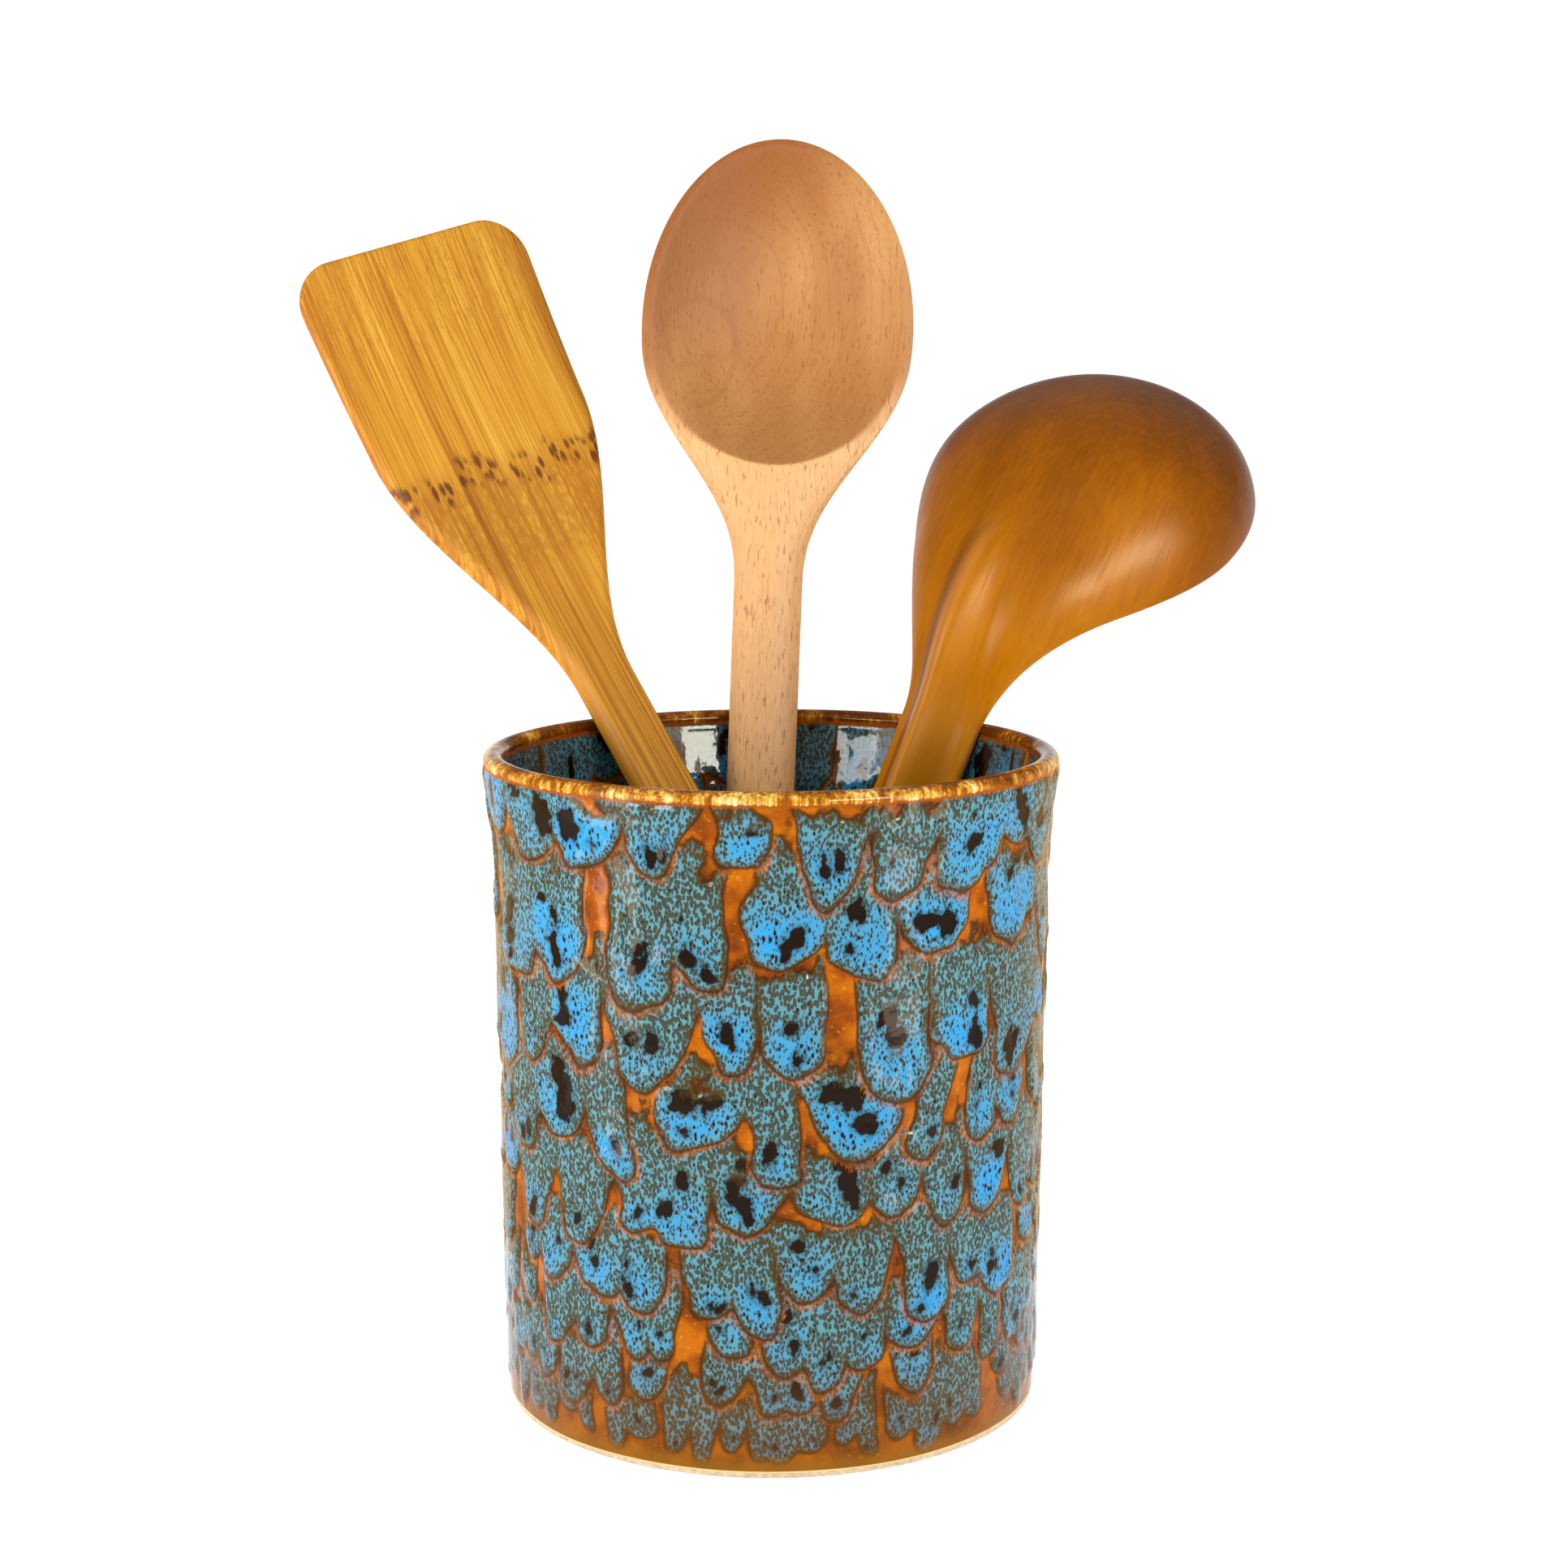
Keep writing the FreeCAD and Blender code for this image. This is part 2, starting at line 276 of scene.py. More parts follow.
class Drip:
    """One tongue of glaze. Its random draws keep their order, because the whole glaze follows from it."""

    def __init__(self, random, row, place, count, top):
        low_end, spread, half_width, _ = row
        self.half = half_width * random.uniform(0.6, 1.2)
        self.bottom = low_end + random.uniform(-1, 1) * spread
        self.middle = (place + random.uniform(-0.2, 0.2)) * round_wall / count
        self.lean = random.uniform(-0.22, 0.22)
        self.under = self.half * random.uniform(0.95, 1.5)
        self.over = max(top - self.bottom - self.under + random.uniform(-3, 4), 0.6 * self.half)
        self.widen = random.uniform(0.02, 0.32)
        self.glow = random.uniform(0.2, 1.05)
        spot_count = 1 + int(self.half > 6) + int(random.uniform() < self.half / 20)
        self.spots = [random.uniform(size=5) for _ in range(spot_count)]

    def columns(self):
        """The wall's columns that the drip may reach."""
        reach = int((2.4 * self.half + 16) / round_wall * columns_round)
        first = int(self.middle / round_wall * columns_round)
        return (np.arange(-reach, reach + 1) + first) % columns_round

    def offsets(self, u, v, z):
        """How far points are to the side of the drip's middle line and above the middle of its round end."""
        across = u - self.middle + self.lean * (z - self.bottom)
        across = (across + round_wall / 2) % round_wall - round_wall / 2
        return across, v - self.bottom - self.under

    def depth(self, across, up, ragged):
        """How far points are inside the drip, which is round at its end and slowly widens upward."""
        below = (1 - np.hypot(across / self.half, up / self.under)) * self.half
        above = self.half + self.widen * np.clip(up, 0, None) - np.abs(across)
        above = np.minimum(above, 0.3 * (self.over - up) + ragged)
        return np.where(up < 0, below, above)

    def brightness(self, up):
        return self.glow * (1 - smooth(up, -0.25 * self.under, 1.1 * self.half))

    def eyes(self, across, up, ragged):
        """How far points are inside the drip's dark spots."""
        marks = np.full(across.shape, no_eye)
        for size, side, slant, level, stretch in self.spots:
            radius = max(0.6, self.half * (0.09 + 0.2 * size))
            beside = across - (side - 0.5) * self.half
            rise = up - (level * 1.2 - 0.55) * self.under
            away = np.hypot(beside + 0.6 * (slant - 0.5) * rise, rise / (1 + 0.7 * stretch))
            marks = np.maximum(marks, radius * (1 + 0.3 * ragged) - away)
        return marks


def drip_row(random, row, top, angle, z, ripples):
    """A row of drips: how far points are inside it, and its drips' brightness and dark spots there."""
    low_end, spread, half_width, _ = row
    wide_u, wide_z, fine_u, fine_z, tiny = ripples
    missing = 0.02 + 0.1 * (low_end < 20)
    count = int(round_wall / (2 * half_width + 0.2))
    size = half_width / 10
    u = angle * mean_radius + size * (2.2 * wide_u + 0.6 * fine_u)
    v = z + size * (2.0 * wide_z + 0.6 * fine_z)
    best = np.full(angle.shape, -9.0)
    total = np.full(angle.shape, 1e-6)
    bright = np.zeros(angle.shape)
    eye = np.full(angle.shape, no_eye)
    margin = 14
    near_rows = np.flatnonzero((z[:, 0] > low_end - spread - margin) & (z[:, 0] < top + margin))
    for place in np.flatnonzero(random.uniform(size=count) > missing):
        drip = Drip(random, row, place, count, top)
        part = np.ix_(near_rows, drip.columns())
        across, up = drip.offsets(u[part], v[part], z[part])
        depth = drip.depth(across, up, fine_z[part] + 0.4 * tiny[part])
        total[part] += np.exp(np.clip(depth, -9, 30) / drip_blend)
        here = depth > best[part]
        best[part] = np.where(here, depth, best[part])
        bright[part] = np.where(here, drip.brightness(up), bright[part])
        eye[part] = np.where(here, drip.eyes(across, up, tiny[part]), eye[part])
    return drip_blend * np.log(total), bright, eye


def glaze(angle, z, seed, first_top):
    """Rows of drips over a wall: how far points are inside each row, and what the topmost drip shows there."""
    random = np.random.default_rng(seed)
    ripples = [Ripple(random, length)(angle, z) for length in ripple_lengths]
    inside = np.zeros(angle.shape + (len(drip_rows),))
    height = np.zeros(angle.shape)
    bright = np.zeros(angle.shape)
    eye = np.full(angle.shape, no_eye)
    for number, row in reversed(list(enumerate(drip_rows))):
        low_end, _, half_width, top = row
        top = first_top if number == 0 else top
        level, row_bright, row_eye = drip_row(random, row, top, angle, z, ripples)
        inside[..., number] = np.clip(level, -4, 6)
        cover = smooth(level, -0.2, 1.0)
        bead = 0.72 + 0.28 * np.exp(-((level - 1.7) / 1.5) ** 2)
        height = height * (1 - 0.55 * cover) + cover * bead * min(1.0, 0.4 + half_width / 18)
        toward_middle = 0.25 + 0.75 * smooth(level, 0.0, 4.0)
        upward = 0.55 + 0.45 * smooth(low_end, 10, 60)
        bright = np.where(level > 0, row_bright * toward_middle * upward, bright)
        eye = np.where(level > 0, row_eye, eye)
    return inside, height, bright, eye


def pot_profile():
    """The pot from its glaze line over the lip to the middle of the floor, row by row.

    Each row is a radius, a height, how far the surface faces outward and upward there, and the wall's name.
    """
    rows = []
    for z in np.linspace(glaze_line, lip_height, 148):
        slope = float(outer_radius(z + 0.5) - outer_radius(z - 0.5))
        rows.append((float(outer_radius(z)), z, 1.0, -slope, "out"))
    lip_middle = rim_radius - lip_radius
    for angle in np.linspace(0, math.pi, 16)[1:-1]:
        across, up = math.cos(angle), math.sin(angle)
        rows.append((lip_middle + lip_radius * across, lip_height + lip_radius * up, across, up, "lip"))
    low = floor_height + cove_radius
    for z in np.linspace(lip_height, low, 70):
        rows.append((float(inner_radius(z)), z, -1.0, 0.0, "in"))
    cove_middle = float(inner_radius(low)) - cove_radius
    for angle in np.linspace(0, QUARTER, 8)[1:]:
        across, down = math.cos(angle), math.sin(angle)
        rows.append((cove_middle + cove_radius * across, low - cove_radius * down, -across, down, "in"))
    for radius in np.linspace(cove_middle, 2, 9)[1:]:
        rows.append((radius, floor_height, 0.0, 1.0, "in"))
    return rows


def make_pot(material):
    """The glazed pot, with raised drips. Its glaze lies in a pool on the floor and is thin on the lip."""
    rows = pot_profile()
    radius, z, across, up = (np.array([row[k] for row in rows], float)[:, None] for k in range(4))
    where = np.array([row[4] for row in rows])
    is_in, on_lip = (where == "in")[:, None], (where == "lip")[:, None]
    first_in = int(np.argmax(where == "in"))
    angle, level = np.broadcast_arrays(theta[None, :], z)
    outer = glaze(angle[:first_in], level[:first_in], outside_seed, outside_top)
    inner = glaze(angle[first_in:], level[first_in:], inside_seed, inside_top)
    inside, height, bright, eye = (np.concatenate(pair) for pair in zip(outer, inner))
    pool_edge, pool_full = 59, 52
    pool = np.where(is_in, smooth(-radius, -pool_edge, -pool_full), 0) * np.ones_like(angle)
    clouds = Ripple(np.random.default_rng(floor_seed), 40)
    clouds = 0.3 + 0.3 * clouds(radius * np.cos(angle) / 20, radius * np.sin(angle))
    inside[..., 0] = inside[..., 0] * (1 - pool) + 5 * pool
    bright = bright * (1 - pool) + pool * clouds
    eye = eye * (1 - pool) + no_eye * pool
    lip_start_in, lip_start_out, lip_full = 156.2, 156.0, 158.4
    lip_share = np.where(is_in, smooth(z, lip_start_in, lip_full), smooth(z, lip_start_out, lip_full))
    lip_share = np.where(on_lip, 1.0, lip_share) + 0 * angle
    height = height * (1 - smooth(lip_share, 0.0, 0.8))
    wander = Ripple(np.random.default_rng(wall_seed), 40)(angle, level)
    lift = np.where(is_in, 0.35 * height - 0.45, 0.85 * height - 0.4 + 0.12 * wander)
    lift = lift * np.where(on_lip, 0.3, 1.0)
    out = radius + lift * across
    points = np.stack([out * np.cos(angle), out * np.sin(angle), z + lift * up], -1)
    fields = {"drips_low": inside[..., 6:9], "drips_mid": inside[..., 3:6], "drips_top": inside[..., 0:3]}
    fields |= {"bright": bright, "eye": eye, "lip": lip_share, "inside": is_in + 0 * angle}
    floor_end = [(len(rows) - 1, False)]
    return grid_piece("glazed_pot", points, material, "crock", fields, floor_end)


def make_foot(material):
    """The bare clay under the glaze line: the round foot edge, the ring it stands on and its recess."""
    top, tucked_in = glaze_line + 0.4, 0.55
    ring_radius, edge_width, edge_height, recess = 64.5, 0.9, 1.0, 2.0
    rows = [(outer_radius(top) - tucked_in, top)]
    for angle in np.linspace(0, QUARTER, 6):
        rows.append((ring_radius + edge_width * math.cos(angle), edge_height * (1 - math.sin(angle))))
    rows += [(61.2, 0.0), (58.3, 0.0), (57.5, 0.5)]
    rows += [(radius, recess) for radius in (56.0, 40.0, 20.0, 3.0)]
    points = np.array([[(r * math.cos(a), r * math.sin(a), z) for a in theta] for r, z in rows])[:, ::-1]
    recess_end = [(len(rows) - 1, False)]
    return grid_piece("bare_foot", points, material, "crock", {}, recess_end)


# What the tools share, in millimetres: where rows start at a tip, the length of a handle's round end, and
# how much of that end's quarter turn is cut off flat
tip_start = 0.6
end_length = 5.0
end_cut = 0.4


def rounded(span, first, last, count):
    """Distances over a quarter round, between two shares of its turn, closest together where it is steepest."""
    return span * (1 - np.cos(np.linspace(first, last, count) * QUARTER))


def end_round(distance, length):
    """A size near a round end, as a share: 0 at the end and 1 from a length away."""
    short = np.clip(length - distance, 0, None) / length
    return np.sqrt(np.clip(1 - short * short, 0, None))


def handle_rows(start, length):
    """Distances from the tip along a handle, from where it starts to its flat end."""
    handle = np.linspace(start, length - end_length, 30)[1:]
    end = length - rounded(end_length, 1, end_cut, 7)[1:]
    return np.concatenate([handle, end])


def bowl_rows(length, widest, neck):
    """Distances from the tip of a tool with a bowl, closest together where its form bends most."""
    handle_start = widest + neck + 12
    tip = tip_start + rounded(widest - tip_start, 0.012, 1, 46)
    bowl = np.linspace(widest, handle_start, 76)[1:]
    return np.concatenate([tip, bowl, handle_rows(handle_start, length)])


def paddle(bowl, handle, from_tip, widest, neck, late=0.0):
    """A size along a spoon: round from the tip to the widest place, then a fall that may start late."""
    share = np.clip((from_tip - widest) / neck, 0, 1)
    early_fall = share ** 2 * (3 - 2 * share)
    late_fall = share ** 3 * (10 - 15 * share + 6 * share ** 2)
    fall = bowl + (handle - bowl) * ((1 - late) * early_fall + late * late_fall)
    return np.where(from_tip < widest, bowl * end_round(from_tip - tip_start, widest - tip_start), fall)


def hollowed(front, hollow):
    """The front of a tool with a hollow pressed into it and a soft edge round the hollow."""
    return (front + hollow + np.sqrt((front - hollow) ** 2 + 0.12)) / 2


def tool_frame(node, front_degrees, back_depth):
    """Where a tool's solid stands: the end of its handle, and the ways to its side, its back and along it."""
    joint = next(j for j in frame["joints"] if j["child"] == node)
    along = np.array(joint["axis"], float)
    along /= np.linalg.norm(along)
    facing = math.radians(front_degrees)
    behind = np.array([-math.cos(facing), -math.sin(facing), 0])
    behind -= along * (behind @ along)
    behind /= np.linalg.norm(behind)
    side = np.cross(behind, along)
    solid = np.array([v.co for v in frame["nodes"][node].data.vertices]) / MM
    height = solid @ along
    low_part = 60
    low = solid[height < height.min() + low_part]
    middle = ((low @ side).min() + (low @ side).max()) / 2
    cut_off = end_length * (1 - math.cos(end_cut * QUARTER))
    foot = side * middle + behind * ((low @ behind).max() - back_depth) + along * (height.min() - cut_off)
    return foot, np.stack([side, behind, along])


def place_tool(name, local, from_tip, material, front_degrees, back_depth, fields=None):
    """A tool from rows of points in its own frame, stood where its solid stands."""
    foot, axes = tool_frame(name, front_degrees, back_depth)
    points = (foot + local @ axes)[:, ::-1]
    fields = {"grain": np.stack([local[..., 0], local[..., 1], from_tip], -1)} | (fields or {})
    fields = {field: values[:, ::-1] for field, values in fields.items()}
    ends = [(0, True), (len(local) - 1, False)]
    piece = grid_piece("carved_" + name, points, material, name, fields, ends)
    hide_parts(name)
    return piece


def make_spoon(material):
    """The spoon: an egg-shaped bowl with a dish in its front, and a handle that is oval all the way."""
    length, widest, neck, late = 303.1, 49.3, 67.2, 0.87
    bowl_half, bowl_back, bowl_front = 35.3, 15.5, 1.2
    handle_half, handle_depth = 8.95, 5.2
    dish_top, deepest, dish_low, dish_bow = 3, 44.0, 84.5, 0.016
    dish_depth, dish_edge, no_dish = 11.5, 2.4, -3
    q = bowl_rows(length, widest, neck)[:, None]
    turn = np.linspace(0, TURN, 144, endpoint=False)[None, :]
    end = end_round(length - q, end_length)
    half = end * paddle(bowl_half, handle_half, q, widest, neck, late)
    back = end * paddle(bowl_back, handle_depth, q, widest, neck, late)
    front = end * paddle(bowl_front, handle_depth, q, widest, neck, late)
    in_front = np.sin(turn) < 0
    x = half * np.cos(turn)
    y = np.where(in_front, front, back) * np.sin(turn)
    low_edge = dish_low - dish_bow * x ** 2
    above, below = (deepest - q) / (deepest - dish_top), (q - deepest) / (low_edge - deepest)
    reach = np.where(q > deepest, below, above)
    side = x / np.clip(half - dish_edge, 0.5, None)
    dish = dish_depth * (1 - reach ** 2) * np.clip(1 - side ** 2, -0.4, 1)
    dish = np.where(in_front & (reach < 1.6), np.where(reach > 1, -np.abs(dish), dish), no_dish)
    y = np.where(in_front, hollowed(y, y + dish), y)
    q = q + 0 * x
    local = np.stack([x, y, length - q], -1)
    return place_tool("spoon", local, q, material, -90.0, handle_depth, {"dish": dish})


def make_ladle(material):
    """The ladle: a handle with a keel on its back, which bends forward into a round, hollow bowl."""
    length, half_length, neck = 282.2, 45.1, 75.0
    bowl_half, bowl_depth, bowl_front, bowl_wall = 45.5, 31.3, 1.2, 4.5
    handle_half, handle_back, handle_front = 11.7, 4.8, 2.6
    keel_height, keel_half, groove_depth, groove_place, groove_half = 7.5, 5.0, 0.14, 8.5, 2.6
    bend_radius, bend, rim_run = 39.3, math.radians(40.4), 77.4
    q = bowl_rows(length, half_length, neck)[:, None]
    turn = np.linspace(0, TURN, 176, endpoint=False)[None, :]
    end = end_round(length - q, end_length)
    half = end * paddle(bowl_half, handle_half, q, half_length, neck)
    back = end * paddle(bowl_depth, handle_back, q, half_length, neck)
    front = end * paddle(bowl_front, handle_front, q, half_length, neck)
    ridge = end * keel_height * (0.45 * smooth(q, 72, 86) + 0.55 * smooth(q, 78, 120))
    rise = np.sin(turn)
    x = half * np.cos(turn)
    grooves = groove_depth * np.exp(-((np.abs(x) - groove_place) / groove_half) ** 2)
    crest = ridge * (np.exp(-(x / keel_half) ** 2) - grooves) * np.clip(2 * rise, 0, 1)
    y = np.where(rise >= 0, back * rise + crest, front * rise)

    def spine(along):
        """The bent middle line: its place behind the handle and its height, and the way to the back there."""
        straight = length - rim_run - bend_radius * bend
        turned = np.clip((along - straight) / bend_radius, 0, bend)
        past = np.clip(along - length + rim_run, 0, None)
        forward = bend_radius * (1 - np.cos(turned)) + past * np.sin(turned)
        height = np.minimum(along, straight) + bend_radius * np.sin(turned) + past * np.cos(turned)
        return -forward, height, np.cos(turned), np.sin(turned)

    half_hollow, depth = half_length - bowl_wall, bowl_depth - bowl_wall
    ball = (half_hollow ** 2 + depth ** 2) / (2 * depth)
    mid_y, mid_z, back_y, back_z = spine(np.array(length - half_length))
    centre_y = mid_y + back_y * (depth - ball)
    centre_z = mid_z + back_z * (depth - ball)
    at_y, at_z, to_y, to_z = spine(length - q)
    reach = (at_y - centre_y) * to_y + (at_z - centre_z) * to_z
    inside = reach ** 2 - (at_y - centre_y) ** 2 - (at_z - centre_z) ** 2 - x ** 2 + ball ** 2
    far_in_front = -60
    hollow = np.where(inside > 0, -reach + np.sqrt(np.clip(inside, 0, None)), far_in_front)
    y = np.where(rise < 0, hollowed(y, hollow), y)
    local = np.stack([x, at_y + y * to_y, at_z + y * to_z], -1)
    fields = {"upright": local[..., 2]}
    back_depth = handle_back + keel_height
    return place_tool("ladle", local, q + 0 * x, material, 51.9, back_depth, fields)


def make_spatula(material):
    """The spatula: a flat blade with round corners that curls forward and thickens into the handle."""
    length, corner, blade, neck = 326.0, 12.0, 50.5, 78.0
    tip_half, blade_half, handle_half = 33.95, 32.2, 8.1
    curl, curl_length = 17.6, 130.0
    thick, thin, edge_length, edge_share = 7.6, 2.4, 1.2, 0.86
    handle_start = blade + neck + 10
    edge = rounded(edge_length, 0.1, 1, 5)
    tip = edge_length + rounded(corner - edge_length, 0.12, 1, 16)
    body = np.linspace(corner, handle_start, 90)[1:]
    q = np.concatenate([edge, tip, body, handle_rows(handle_start, length)])[:, None]
    close = end_round(length - q, end_length)
    along = np.clip((q - corner) / (blade - corner), 0, 1)
    half = tip_half + (blade_half - tip_half) * along
    half = half - corner + corner * end_round(q, corner)
    half = half + (handle_half - blade_half) * smooth((q - blade) / neck, 0, 1) - (1 - close) * end_length
    in_curl = np.clip(curl_length - q, 0, None) / curl_length
    depth = close * (thick + (thin - thick) * smooth(in_curl, 0, 1)) / 2
    depth = depth * end_round(q + 0.05, edge_length)
    rim = np.linspace(-QUARTER, QUARTER, 11)
    flat = np.linspace(1, -1, 40)[1:-1]
    across = np.concatenate([np.ones(11), flat, -np.ones(11), -flat])[None, :]
    bulge = np.concatenate([np.cos(rim), 0 * flat, -np.cos(rim), 0 * flat])[None, :]
    up = np.concatenate([np.sin(rim), 0 * flat + 1, -np.sin(rim), 0 * flat - 1])[None, :]
    x = across * (half - edge_share * depth) + bulge * edge_share * depth
    y = up * depth
    lean = np.arctan(2 * curl * in_curl / curl_length)
    local = np.stack([x, -curl * in_curl ** 2 + y * np.cos(lean), length - q + y * np.sin(lean)], -1)
    return place_tool("spatula", local, q + 0 * x, material, -57.0, thick / 2)


def tongue_colour(g, flow, broad, fine, net):
    """The mottled blue of a tongue of glaze, and how far its small freckles are away."""
    bright = g.math("ADD", g.attribute("bright"), g.swing(broad, 0.6), True)
    rough = g.swing(net, 0.34)
    small = g.minus(g.plus(g.spots(flow, 1.45), rough), g.line(bright, 0.58, 0.18))
    large = g.minus(g.plus(g.spots(flow, 0.8), rough), g.line(bright, 0.17, 0.29))
    blue = g.mix(bright, srgb(82, 140, 150), srgb(32, 146, 206))
    blue = g.tint(blue, g.step(small, 0.1, -0.08), 0.9, srgb(56, 46, 14))
    blue = g.tint(blue, g.step(large, 0.14, 0.02), 0.75, srgb(66, 70, 40))
    blue = g.mix(g.step(large, 0.04, -0.05), blue, srgb(22, 14, 2))
    # Painted shade: the blue of the glaze inside the pot is darkened.
    blue = g.tint(blue, g.attribute("inside"), 0.36, srgb(26, 30, 24))
    eye = g.plus(g.attribute("eye"), g.swing(fine, 1.6))
    blue = g.tint(blue, g.step(eye, -1.4, -0.2), 0.5, srgb(44, 66, 58))
    return g.mix(g.step(eye, -0.3, 0.15), blue, srgb(14, 4, 3)), small


def drip_colours(g, spot, broad, fine):
    """The amber ground and the rows of tongues over it, each with a dark outline, partly pooled glaze and
    partly painted shadow of its raised edge, and a frayed brown fringe.
    """
    flow = g.stretched(spot, 1, 1, 0.6)
    net = g.noise(flow, 1.0, 0.5, 1.6)
    blue, small = tongue_colour(g, flow, broad, fine, net)
    ground = g.ramp(
        broad, (0.3, srgb(84, 36, 0)), (0.46, srgb(140, 66, 0)), (0.62, srgb(178, 98, 1)),
        (0.8, srgb(164, 86, 2)))
    ground = g.mix(g.step(fine, 0.6, 0.78), ground, srgb(206, 134, 26))
    colour = ground
    wobble = g.swing(fine, 0.7)
    feather = g.swing(net, 4.0)
    for name in ("drips_low", "drips_mid", "drips_top"):
        for inside in reversed(list(g.parts(g.attribute(name, "Vector")))):
            level = g.plus(inside, wobble)
            colour = g.tint(colour, g.step(g.plus(inside, feather), -1.7, -0.9), 0.6, ground)
            # A dark outline just outside each tongue: partly pooled glaze, partly painted shadow of its raised
            # edge.
            colour = g.tint(colour, g.step(level, -0.9, -0.1), 0.9, srgb(46, 18, 0))
            edge = g.mix(g.step(g.plus(level, small), -0.2, 1.5), srgb(70, 56, 20), blue)
            colour = g.mix(g.step(level, -0.2, 0.2), colour, edge)
    return colour


def rim_colours(g, colour, spot, broad):
    """A colour with the lip's amber band and its cream streaks laid over it."""
    streaks = g.noise(g.stretched(spot, 1, 1, 0.06), 3.0, 0.65, 0.9)
    x, y, _ = g.parts(spot)
    patches = g.plus(g.times(streaks, 1.5), g.times(broad, 1.7))
    cream = g.plus(g.line(g.step(g.length(x, y), 66.8, 69.6), -1.46, -1.13), patches)
    rim = g.ramp(
        cream, (0.1, srgb(84, 40, 2)), (0.38, srgb(158, 92, 6)), (0.62, srgb(206, 164, 62)),
        (0.92, srgb(236, 222, 158)))
    band = g.plus(g.attribute("lip"), g.swing(streaks, 0.9))
    return g.mix(g.step(band, 0.25, 0.7), colour, g.mix(g.step(band, 0.75, 1.0), srgb(146, 72, 10), rim))


def glaze_material():
    """Reactive drip glaze: the drips, the lip, a brown stain low on the wall and a pale line at the foot."""
    g = Graph("drip_glaze")
    spot = g.millimetres()
    broad = g.noise(spot, 3.0, 0.55, 0.11)
    fine = g.noise(spot, 2.0, 0.6, 0.8)
    colour = rim_colours(g, drip_colours(g, spot, broad, fine), spot, broad)
    height = g.parts(spot)[2]
    low = g.plus(height, g.swing(fine, 3.0))
    colour = g.tint(colour, g.step(height, 36.0, 4.0), 0.46, srgb(98, 60, 8))
    colour = g.tint(colour, g.step(low, 6.5, 2.4), 0.7, srgb(132, 86, 14))
    colour = g.mix(g.step(height, 2.0, 1.7), colour, srgb(222, 198, 132))
    g.constants({"Roughness": 0.07, "IOR": 1.27, "Specular Tint": (1.0, 0.78, 0.54, 1)})
    return g.finished(colour, broad, 0.00025)


def clay_material():
    """Bare fired clay, pale and gritty."""
    g = Graph("bare_clay")
    grit = g.noise(g.millimetres(), 3.0, 0.65, 0.7)
    colour = g.ramp(grit, (0.3, srgb(176, 150, 116)), (0.7, srgb(214, 194, 160)))
    g.constants({"Roughness": 0.85})
    return g.finished(colour, grit, 0.0003)


def bamboo_material():
    """Bamboo: straight fibres, a woven look under the tip and by the node, and dark dashes along the node."""
    g = Graph("bamboo")
    node_place, weave_place = 65.0, 80.0
    x, y, q = g.parts(g.attribute("grain", "Vector"))
    across = g.joined(x, y, g.times(q, 0.006))
    fibres = g.noise(g.stretched(across, 1.3, 0.1, 1.0), 3.0, 0.62)
    broad = g.noise(g.stretched(across, 0.13, 0.05, 0.5))
    hair = g.noise(g.stretched(across, 3.0, 0.3, 7.0), 2.0, 0.6)
    short = g.noise(g.stretched(across, 1.7, 0.5, 46.0), 2.0, 0.6)
    tone = g.plus(g.times(fibres, 0.54), g.times(broad, 0.26))
    tone = g.plus(tone, g.times(hair, 0.2))
    tone = g.plus(tone, g.line(g.step(q, 72.0, 60.0), 0.022, 0.048))
    edges = g.step(g.plus(g.math("ABSOLUTE", x), g.times(fibres, 8.0)), 30.0, 38.0)
    tone = g.minus(tone, g.times(edges, 0.09))
    colour = g.ramp(
        tone, (0.36, srgb(134, 72, 6)), (0.46, srgb(176, 112, 22)), (0.56, srgb(202, 144, 36)),
        (0.7, srgb(224, 174, 66)))
    near_tip = g.times(g.step(q, 44.0, 20.0), g.step(short, 0.5, 0.68))
    colour = g.tint(colour, near_tip, 0.42, srgb(158, 96, 14))
    bow = g.plus(node_place, g.swing(broad, 14.0))
    dashes = g.joined(g.plus(x, g.times(hair, 1.5)), g.times(y, 0.3), g.times(q, 0.36))
    weave = g.plus(g.spots(dashes, 0.9), g.times(short, 0.5))
    woven = g.times(g.near(q, weave_place, 17.0, 8.0), g.step(weave, 0.5, 0.8))
    colour = g.tint(colour, woven, 0.42, srgb(156, 92, 18))
    colour = g.tint(colour, g.near(q, bow, 8.0, 2.0), 0.2, srgb(158, 88, 14))
    marks = g.times(g.near(q, bow, 5.6, 2.0), g.step(g.spots(dashes, 0.56), 0.54, 0.3))
    colour = g.tint(colour, marks, 0.85, srgb(86, 38, 4))
    g.constants({"Roughness": 0.46, "Specular IOR Level": 0.15})
    return g.finished(colour, fibres, 0.0002)


def whorl_bands(g, x, q, soft, dish):
    """A few curved growth rings round one place in the dish."""
    place_x, place_q, half_x, half_q = -21.0, 56.0, 11.6, 16.0
    across = g.math("DIVIDE", g.minus(x, place_x), half_x)
    along = g.math("DIVIDE", g.minus(q, place_q), half_q)
    away = g.plus(g.length(across, along), g.times(soft, 0.5))
    bands = g.step(g.math("SINE", g.times(away, 13.0)), 0.2, 1.0)
    bands = g.times(bands, g.times(g.step(away, 1.5, 1.2), g.step(dish, 0.5, 2.5)))
    return g.times(bands, g.step(away, 0.6, 0.95))


